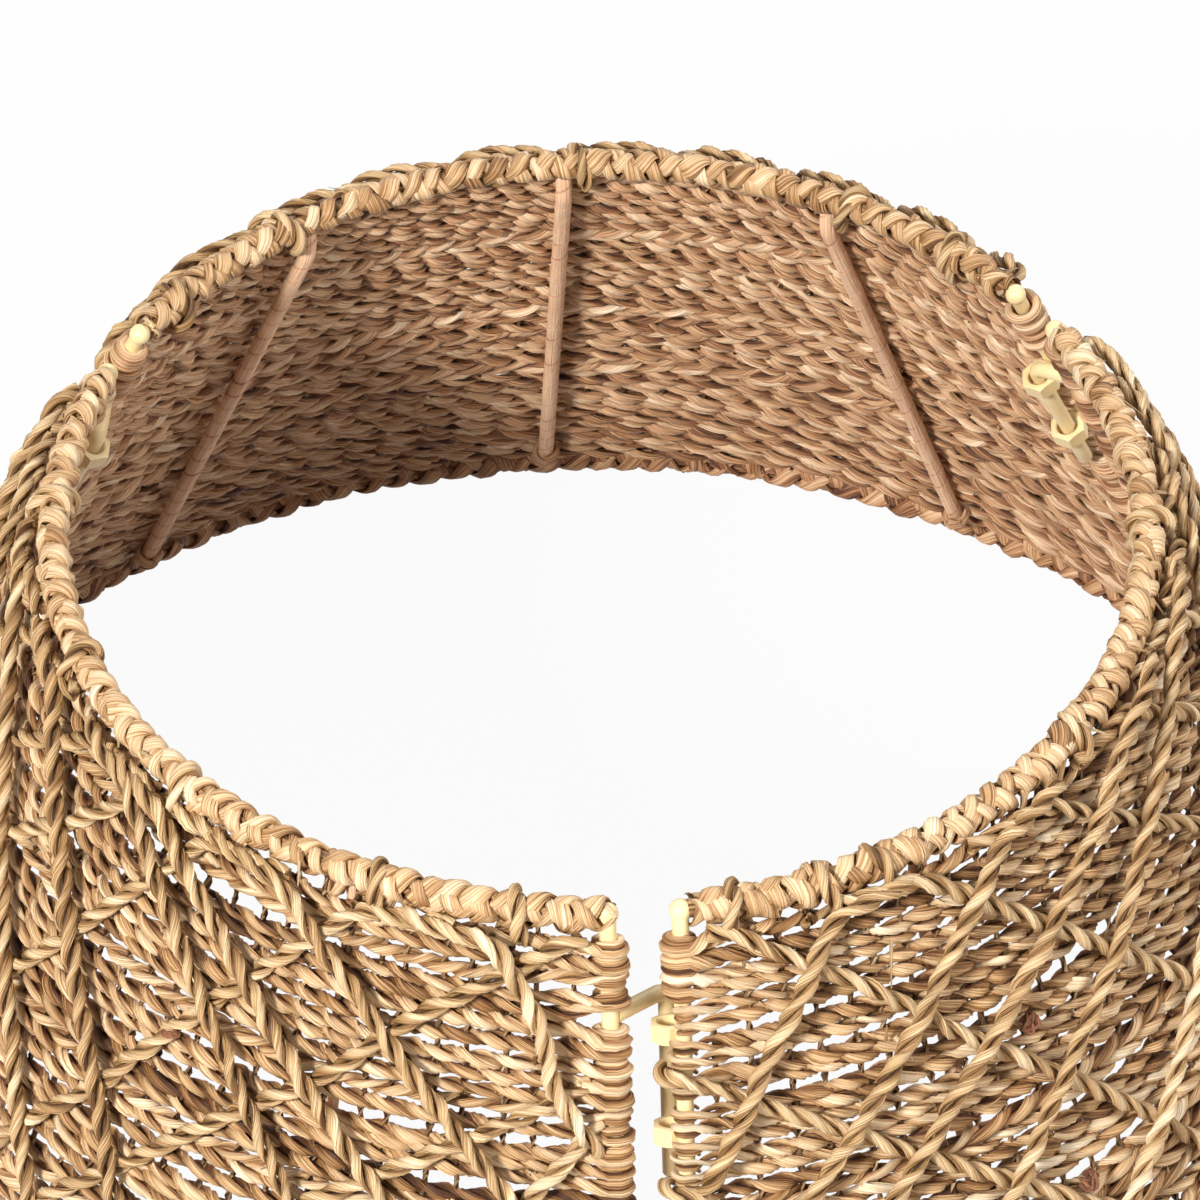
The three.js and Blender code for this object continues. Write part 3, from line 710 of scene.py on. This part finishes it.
def rim_loop(bundle, turn):
    """End of a lattice rope, carried once over the rim and back through the gap under it."""
    share = np.linspace(0, 1, LOOP_POINTS)
    angle = 2 * np.pi * (LOOP_START + LOOP_TURNS * share)
    along = turn + (share - 0.5) * LOOP_RUN * rng.choice((-1, 1)) / RIM_R
    down = LOOP_DROP + LOOP_DOWN * np.cos(angle) + wobble(LOOP_POINTS, *LOOP_WANDER)
    out = LOOP_OUT * np.sin(angle) + wobble(LOOP_POINTS, *LOOP_WANDER)
    path = cone(along, down, out)
    facing = path - cone(along, LOOP_DROP, 0.0)
    thin = LOOP_R * taper(LOOP_END, np.minimum(share, 1 - share) * LOOP_END_GAIN)
    laid_rope(bundle, path, facing, thin, LOOP_R * LOOP_TWIST_SHARE, LOOP_TONE, LOOP_SPREAD)


def lattice(bundle, name, hand):
    """Thick laid ropes in two directions; one set rides over the other at each crossing."""
    over_at, under_at = LATTICE_AT[name]
    over, under = rope_runs(over_at, hand), rope_runs(under_at, -hand)
    layers = ((under, over, -hand, UNDER_OUT, UNDER_DIP), (over, under, hand, OVER_OUT, OVER_LIFT))
    for ropes, others, sign, rest, lift in layers:
        for run in ropes:
            turn, down, out = rope_course(run, others, sign, rest, lift)
            path, facing = cone(turn, down, out), cone_normal(turn)
            if name == "right" and down[0] > NEAR_RIM and sign > 0:
                path, facing = edge_loop(path, facing, down[0] - EDGE_LOOP_RISE)
            laid_rope(bundle, path, facing, LATTICE_R, LATTICE_TWIST, LATTICE_TONE, LATTICE_SPREAD)
    for place in RIM_LOOPS[name]:
        rim_loop(bundle, math.radians(place))


# A radius between rim and foot, which turns short lengths along the wall into turns
WALL_R = 230.0

# Frays: how many, the share at the rim, and where those at the rim and on the wall start
FRAYS, FRAY_RIM_SHARE, FRAY_RIM_DOWN, FRAY_WALL_MARGIN, FRAY_TURN_MARGIN = 34, 0.3, (-4, 6), 12, 0.09
FRAY_RIM_OUT, FRAY_WALL_OUT = 4.5, 6.0

# Frays: the size and shape of each leaf end
FRAY_LENGTH, FRAY_STAND, FRAY_CURL, FRAY_POINTS = (5, 13), (0.2, 0.6), 0.4, 7
FRAY_R, FRAY_THIN, FRAY_SIDES, FRAY_FLAT, FRAY_TONE = 0.9, 0.7, 4, 0.35, (0.55, 0.12)


def frays(bundle):
    """Loose leaf ends that stand off the ropes and the rim."""
    share = np.linspace(0, 1, FRAY_POINTS)
    wall_down = (FRAY_WALL_MARGIN, SHEET_FOOT - FRAY_WALL_MARGIN)
    for _ in range(FRAYS):
        at_rim = rng.uniform() < FRAY_RIM_SHARE
        down = rng.uniform(*(FRAY_RIM_DOWN if at_rim else wall_down))
        turn = rng.uniform(FRAY_TURN_MARGIN, PANEL - FRAY_TURN_MARGIN)
        length = rng.uniform(*FRAY_LENGTH)
        run, lean = rng.uniform(-1, 1, 2) * length
        lean = abs(lean) if at_rim else lean
        out = (FRAY_RIM_OUT if at_rim else FRAY_WALL_OUT) + length * rng.uniform(*FRAY_STAND) * share
        bent = down + lean * (share + FRAY_CURL * share * share)
        path = cone(turn + run * share / WALL_R, bent, out)
        leaf = FRAY_R * (1 - FRAY_THIN * share)
        facing = cone_normal(np.full(FRAY_POINTS, turn))
        bundle.strand(path, facing, leaf, FRAY_SIDES, FRAY_FLAT, rng.normal(*FRAY_TONE))


# Knots: turn in degrees and distance down of each, and the short bowed strands that make one
KNOTS = {"left": [(77.3, 82.0)], "right": [(34.6, 79.5), (36.0, 148.0)], "back": [(70.0, 60.0)]}
KNOT_STRANDS, KNOT_POINTS, KNOT_ANGLES = 11, 8, 6.3
KNOT_HALF, KNOT_BOW, KNOT_OUT, KNOT_STAND = 3.4, 2.6, 6.0, (0.4, 1.3)
KNOT_R, KNOT_SIDES, KNOT_FLAT, KNOT_TONE, KNOT_FOLD = 0.8, 5, 0.7, (0.5, 0.15), 0.15


def knot(bundle, turn, down):
    """Small dark tangle where a strand was tied off."""
    share = np.linspace(0, 1, KNOT_POINTS)
    bow = KNOT_BOW * np.sin(share * np.pi)
    along = KNOT_HALF * (share - 0.5) * 2
    facing = cone_normal(np.full(KNOT_POINTS, turn))
    for _ in range(KNOT_STRANDS):
        a, b = rng.uniform(0, KNOT_ANGLES, 2)
        round_at = turn + (along * math.cos(a) + bow * math.sin(b)) / WALL_R
        down_at = down + along * math.sin(a) + bow * math.cos(b)
        path = cone(round_at, down_at, KNOT_OUT + bow * rng.uniform(*KNOT_STAND))
        bundle.strand(path, facing, KNOT_R, KNOT_SIDES, KNOT_FLAT, rng.normal(*KNOT_TONE), 0.0, KNOT_FOLD)


def ring_mesh(name, rings, start, axes, material, panel_turn):
    """Closed mesh from a loop of rings of points in millimetres, set at the start on the given axes."""
    rings = np.asarray(rings, float)
    n, m, _ = rings.shape
    points = (rings.reshape(-1, 3) @ axes + start) @ panel_axes(panel_turn) * MM
    low = np.arange(n * m).reshape(n, m)
    up = np.roll(low, -1, axis=0)
    quads = np.stack([low, np.roll(low, -1, 1), np.roll(up, -1, 1), up], -1).reshape(-1, 4).tolist()
    mesh = bpy.data.meshes.new(name)
    mesh.from_pydata(points.tolist(), [], quads)
    mesh.polygons.foreach_set("use_smooth", np.ones(len(quads), bool))
    mesh.set_sharp_from_angle(angle=math.radians(NUT_CREASE))
    mesh.materials.append(material)
    return linked(name, mesh)


# Hinge nuts: points round, the flat crown's share of the width, the corners' slope and the bore's bevel
NUT_POINTS, NUT_CROWN, NUT_SLOPE, BORE_BEVEL = 72, 0.96, 0.5, 0.5


def hinge_nut(name, at, panel_turn):
    """Hex nut with chamfered corners and a through bore."""
    start = beside(0.0, HINGE_SIDE, at, HINGE_IN)
    along = unit(beside(0.0, HINGE_SIDE, at + NUT_H, HINGE_IN) - start)
    facing = beside(0.0, ROD_OFFSET, at, 0.0) - start
    across = unit(facing - facing.dot(along) * along)
    a = np.linspace(0, 2 * np.pi, NUT_POINTS, endpoint=False)
    hexagon = (NUT_FLATS / 2) / np.cos((a + np.pi / 6) % (np.pi / 3) - np.pi / 6)
    crown = np.full_like(a, NUT_FLATS / 2 * NUT_CROWN)
    slope = (hexagon - crown) * NUT_SLOPE
    bore = np.full_like(a, BORE_R)
    base, top = np.zeros_like(a), np.full_like(a, NUT_H)
    rings = [(bore, base + BORE_BEVEL), (bore + BORE_BEVEL, base), (crown, base), (hexagon, slope),
             (hexagon, NUT_H - slope), (crown, top), (bore + BORE_BEVEL, top), (bore, top - BORE_BEVEL)]
    rings = [np.stack([r * np.cos(a), r * np.sin(a), z], -1) for r, z in rings]
    axes = np.stack([across, np.cross(along, across), along])
    return ring_mesh(name, rings, start, axes, CREAM, panel_turn)


# Wire: sides of its section, the leg's weld and straight start, and the pin's straight end
WIRE_SIDES, BEND_POINTS = 22, 13
LEG_WELD, LEG_STRAIGHT, PIN_STRAIGHT = 0.8, 8.0, 20.0

# Pin's rounded tip: distances from its end and shares of its radius there
PIN_TIP_AT, PIN_TIP_SHARE = (-1.4, -0.5, 0.0), (1.0, 0.86, 0.55)


def hinge_pin(bundle, setback):
    """Wire leg out of the edge rod, bent down along the hinge line, with a rounded end."""
    root = beside(PANEL, -ROD_OFFSET, LEG_AT, 0.0)
    corner = beside(PANEL, HINGE_SIDE, LEG_AT, HINGE_IN - setback)
    end = beside(PANEL, HINGE_SIDE, PIN_END, HINGE_IN - setback)
    leg, drop = unit(corner - root), unit(end - corner)
    a, b = corner - leg * PIN_BEND, corner + drop * PIN_BEND
    u = np.linspace(0, 1, BEND_POINTS)[:, None]
    curve = (1 - u) ** 2 * a + 2 * u * (1 - u) * corner + u * u * b
    straight = [root + leg * (ROD_R - LEG_WELD), root + leg * LEG_STRAIGHT]
    tip = end + drop * np.reshape(PIN_TIP_AT, (-1, 1))
    path = np.concatenate([straight, curve, [end - drop * PIN_STRAIGHT], tip])
    radius = np.full(len(path), PIN_R)
    radius[-len(PIN_TIP_SHARE):] *= PIN_TIP_SHARE
    bundle.strand(path, np.repeat(np.cross(leg, drop)[None], len(path), 0), radius, WIRE_SIDES)


# Edge rods: the ball's rings in degrees, the neck and a ring below it, and the bevelled foot
BALL_RINGS = (8, 25, 45, 65, 90, 112, 125)
ROD_NECK, ROD_RING, ROD_BEVEL, ROD_BEVEL_SHARE = 3.4, 60.0, 0.6, 0.8


def edge_rod(bundle, turn, side):
    """Straight edge rod with a ball at its upper end."""
    a = np.radians(BALL_RINGS)
    radius = np.concatenate([BALL_R * np.sin(a), [ROD_R, ROD_R, ROD_R, ROD_R * ROD_BEVEL_SHARE]])
    down = np.concatenate([-BALL_R * np.cos(a), [ROD_NECK, ROD_RING, SLANT - ROD_BEVEL, SLANT]])
    path = beside(turn, np.full(len(down), side), down, 0.0)
    bundle.strand(path, np.repeat(cone_normal(turn)[None], len(down), 0), radius, WIRE_SIDES)


# Struts: their place, and the bend at the top that tucks them under the rim binding
STRUT_OUT, STRUT_TOP, STRUT_BEND, STRUT_BEND_RUN = -7.5, 0.5, 5.0, 15.0
TUCK_START, TUCK_RUN = 3.0, 8.0

# Strut tape: its turns and their step, and the painted shade line along each lap's step
TAPE_PITCH, TAPE_STEP, TAPE_SIDES, TAPE_POINT_STEP, TAPE_LAP_WANDER = 12.0, 0.3, 24, 0.9, (30, 0.15)
TAPE_TONE, TAPE_TONE_WANDER, LAP_SHADE, LAP_WIDTH = 0.55, (14, 0.09), 0.45, 0.05


def taped_strut(bundle, place):
    """Wire wound with a spiral paper tape, each turn lapping the last by a thin step."""
    top = cone(PANEL / 2 + place * STRUT_TOP_STEP, STRUT_TOP, STRUT_OUT)
    foot = cone(PANEL / 2 + place * STRUT_FOOT_STEP, STRUT_FOOT, STRUT_OUT)
    n = int(np.linalg.norm(foot - top) / TAPE_POINT_STEP)
    path = np.linspace(top, foot, n)
    length = run_length(path)
    normal = np.repeat(cone_normal(PANEL / 2 + place * STRUT_TOP_STEP)[None], n, 0)
    path += STRUT_BEND * (1 - smooth01(length / STRUT_BEND_RUN))[:, None] * normal
    side_share = np.arange(TAPE_SIDES) / TAPE_SIDES
    lap = (length[:, None] / TAPE_PITCH + wobble(n, *TAPE_LAP_WANDER)[:, None] - side_share) % 1.0
    tuck = smooth01((length + TUCK_START) / TUCK_RUN)[:, None]
    radius = (STRUT_R - TAPE_STEP * lap) * tuck
    # Painted shade: a dark line where each tape turn steps over the last
    dark = LAP_SHADE * np.exp(-(np.minimum(lap, 1 - lap) / LAP_WIDTH) ** 2)
    tone = TAPE_TONE + wobble(n, *TAPE_TONE_WANDER)[:, None] - dark
    bundle.strand(path, normal, radius, TAPE_SIDES, tone=tone)


# Strut ties: their place and turns, and the tails, which start past a share of the strand
TIE_UP, TIE_TURNS, TIE_R, TIE_RUN, TIE_POINTS, TIE_WANDER = 4.0, 2.5, 4.6, 6.5, 60, (20, 0.4)
TIE_TAIL, TIE_TAIL_IN, TAIL_GAIN, TAIL_START = 9.0, 0.6, 10, 4

# Strut ties: the strand
TIE_LEAF, TIE_SIDES, TIE_FLAT, TIE_FOLD, TIE_TONE, TIE_TONE_WANDER = 1.9, 8, 0.6, 0.16, 0.5, (16, 0.1)
TIE_END, TIE_END_GAIN = 0.4, 14


def strut_tie(bundle, place):
    """Weft strand tied round a strut's foot, its tails laid along the nearest row."""
    turn = PANEL / 2 + place * STRUT_FOOT_STEP
    down = STRUT_FOOT - TIE_UP
    centre = cone(turn, down, STRUT_OUT)
    along = unit(cone(turn, down + 1, STRUT_OUT) - centre)
    share = np.linspace(0, 1, TIE_POINTS)
    off = share - 0.5
    angle = np.pi / 2 + 2 * np.pi * TIE_TURNS * off
    tail = np.sign(off) * smooth01(np.abs(off) * TAIL_GAIN - TAIL_START)
    across = TIE_R * np.cos(angle) + tail * TIE_TAIL
    inward = TIE_R * np.sin(angle) + np.abs(tail) * TIE_R * TIE_TAIL_IN
    path = centre + across[:, None] * sideways(turn) - inward[:, None] * cone_normal(turn)
    path = path + (off * TIE_RUN + wobble(TIE_POINTS, *TIE_WANDER))[:, None] * along
    fat = TIE_LEAF * taper(TIE_END, np.minimum(share, 1 - share) * TIE_END_GAIN)
    tone = TIE_TONE + wobble(TIE_POINTS, *TIE_TONE_WANDER)
    bundle.strand(path, path - centre, fat, TIE_SIDES, TIE_FLAT, tone, 0.0, TIE_FOLD)


def dress(name, panel_turn, body, hand, setback):
    """All pieces of one panel, each riding the panel's body."""
    rows = np.linspace(ROW_TOP, ROW_FOOT, ROWS) + rng.normal(0, ROW_SPREAD, ROWS)
    half = ROWS // 2
    cover_end = setback > 0

    def settle(ob, stands_for):
        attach(ob, body)
        if stands_for:
            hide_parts(f"{name}_{stands_for}")

    def piece(label, material, build, stands_for=None, crease=WEAVE_CREASE):
        bundle = Bundle()
        build(bundle)
        settle(bundle.make(f"{name}_{label}", panel_turn, material, crease), stands_for)

    def weave(bundle, downs):
        for down in downs:
            weft_row(bundle, down)

    def rim(bundle):
        winding(bundle, cover_end, RIM_TONE_AND_SHADE[name], **RIM_BINDING)

    def foot(bundle):
        winding(bundle, False, FOOT_TONE_AND_SHADE, **FOOT_BINDING)

    def knots(bundle):
        for place, down in KNOTS[name]:
            knot(bundle, math.radians(place), down)

    def ties(bundle):
        for i in range(STRUTS):
            strut_tie(bundle, i - STRUTS // 2)

    piece("weft_upper", WEFT, lambda b: weave(b, rows[:half]), "woven_sheet")
    piece("weft_lower", WEFT, lambda b: weave(b, rows[half:]))
    piece("warps", WEFT, warp_cords)
    piece("rim_winding", RIM, rim, "top_binding", BINDING_CREASE)
    piece("foot_winding", WEFT, foot, "bottom_binding", BINDING_CREASE)
    piece("lattice_ropes", KHAKI, lambda b: lattice(b, name, hand), "lattice", ROPE_CREASE)
    piece("frays", KHAKI, frays)
    piece("knots", KNOT, knots)
    for i in range(STRUTS):
        piece(f"taped_strut_{i + 1}", TAPE, lambda b: taped_strut(b, i - STRUTS // 2),
              f"strut_{i + 1}", WIRE_CREASE)
    piece("strut_ties", WEFT, ties)
    piece("nut_side_rod", CREAM, lambda b: edge_rod(b, 0.0, ROD_OFFSET), "nut_rod", WIRE_CREASE)
    piece("pin_side_rod", CREAM, lambda b: edge_rod(b, PANEL, -ROD_OFFSET), "pin_rod", WIRE_CREASE)
    piece("bent_pin", CREAM, lambda b: hinge_pin(b, setback), "hinge_pin", WIRE_CREASE)
    for key, at in zip(("upper", "lower"), NUT_AT):
        settle(hinge_nut(f"{name}_hex_nut_{key}", at, panel_turn), f"nut_{key}")
    for rail in ("top_rail", "bottom_rail"):
        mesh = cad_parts[f"{name}_{rail}"].data
        mesh.materials.clear()
        mesh.materials.append(CREAM)


for panel_name, traits in PANELS.items():
    dress(panel_name, *traits)

# Photograph's view: focal length, centre and frame in pixels, then the camera's place in metres and angles
FOCAL, CENTRE, FRAME = 6000.0, (602.0, 296.0), 1200.0
ELEV, YAW, ROLL = math.radians(40.99), math.radians(4.4), math.radians(0.3)
DIST, AIM_Z, SENSOR = 2.1302, RIM_Z * MM + 0.1052, 36.0


def photo_camera():
    """Camera at the photograph's viewing angle."""
    forward = Vector((math.sin(YAW) * math.cos(ELEV), math.cos(YAW) * math.cos(ELEV), -math.sin(ELEV)))
    level = Vector((math.cos(YAW), -math.sin(YAW), 0))
    upward = level.cross(forward)
    right = level * math.cos(ROLL) + upward * math.sin(ROLL)
    up = upward * math.cos(ROLL) - level * math.sin(ROLL)
    data = bpy.data.cameras.new("camera")
    data.sensor_width = SENSOR
    data.lens = SENSOR * FOCAL / FRAME
    data.shift_x = 0.5 - CENTRE[0] / FRAME
    data.shift_y = CENTRE[1] / FRAME - 0.5
    place = Matrix((right, up, -forward)).transposed().to_4x4()
    place.translation = Vector((0, 0, AIM_Z)) - forward * DIST
    camera = linked("camera", data)
    camera.matrix_world = place
    bpy.context.scene.camera = camera


def seen_white(tree, plain, white, output, share):
    """Shows white to the camera and to mirror-like rays, and the plain shader to all others."""
    ray = tree.nodes.new("ShaderNodeLightPath")
    seen = maths(tree, "MAXIMUM", ray.outputs["Is Camera Ray"], ray.outputs["Is Glossy Ray"])
    seen = maths(tree, "MAXIMUM", seen, ray.outputs["Is Transmission Ray"])
    mix = tree.nodes.new("ShaderNodeMixShader")
    tree.links.new(times(tree, seen, share), mix.inputs[0])
    tree.links.new(plain.outputs[0], mix.inputs[1])
    tree.links.new(white.outputs[0], mix.inputs[2])
    tree.links.new(mix.outputs[0], tree.nodes[output].inputs["Surface"])


# White studio: warm ambient light, the white that is seen, and a floor in metres
AMBIENT, AMBIENT_STRENGTH, WHITE = (1.0, 0.98, 0.96, 1.0), 0.27, (1.0, 1.0, 1.0, 1.0)
FLOOR_HALF, FLOOR_DROP, FLOOR_COLOUR, FLOOR_ROUGH, FLOOR_WHITE = 9, 0.0005, (0.62, 0.60, 0.58, 1), 0.9, 0.95


def studio_world():
    """Gentle light all round, seen as plain white."""
    world = bpy.data.worlds.new("studio")
    bpy.context.scene.world = world
    world.use_nodes = True
    tree = world.node_tree
    ambient = tree.nodes["Background"]
    ambient.inputs["Color"].default_value = AMBIENT
    ambient.inputs["Strength"].default_value = AMBIENT_STRENGTH
    white = add(tree, "ShaderNodeBackground", Color=WHITE, Strength=1.0)
    seen_white(tree, ambient, white, "World Output", 1.0)


def lamp(name, at, aim_z, size, watts, colour):
    """Round area lamp that looks at a height on the collar's axis."""
    data = bpy.data.lights.new(name, "AREA")
    data.shape = "DISK"
    data.size = size
    data.energy = watts
    data.color = colour
    ob = linked(name, data)
    ob.location = at
    ob.rotation_euler = (Vector((0, 0, aim_z)) - Vector(at)).to_track_quat("-Z", "Y").to_euler()


def studio_floor():
    """Pale floor that looks white and keeps the collar's shadow."""
    h = FLOOR_HALF
    mesh = bpy.data.meshes.new("floor")
    mesh.from_pydata([(-h, -h, 0), (h, -h, 0), (h, h, 0), (-h, h, 0)], [], [(0, 1, 2, 3)])
    floor = linked("floor", mesh)
    floor.location.z = -FLOOR_DROP
    material, tree, bsdf = nodes_of("floor_white")
    bsdf.inputs["Base Color"].default_value = FLOOR_COLOUR
    bsdf.inputs["Roughness"].default_value = FLOOR_ROUGH
    glow = add(tree, "ShaderNodeEmission", Color=WHITE, Strength=1.0)
    seen_white(tree, bsdf, glow, "Material Output", FLOOR_WHITE)
    mesh.materials.append(material)
    return floor


photo_camera()
studio_world()
lamp("key", (-1.6, -1.95, 2.1), aim_z=0.15, size=0.6, watts=128.0, colour=(1.0, 0.97, 0.93))
lamp("fill", (1.5, -2.5, 1.2), aim_z=0.15, size=1.2, watts=13.0, colour=(1.0, 0.92, 0.86))
lamp("side", (2.0, -0.3, 1.8), aim_z=0.1, size=1.4, watts=30.0, colour=(1.0, 0.95, 0.90))
lamp("rear", (0.9, 2.3, 1.9), aim_z=0.15, size=1.4, watts=34.0, colour=(1.0, 0.98, 0.96))
floor = studio_floor()

bpy.context.scene.view_settings.view_transform = "Standard"
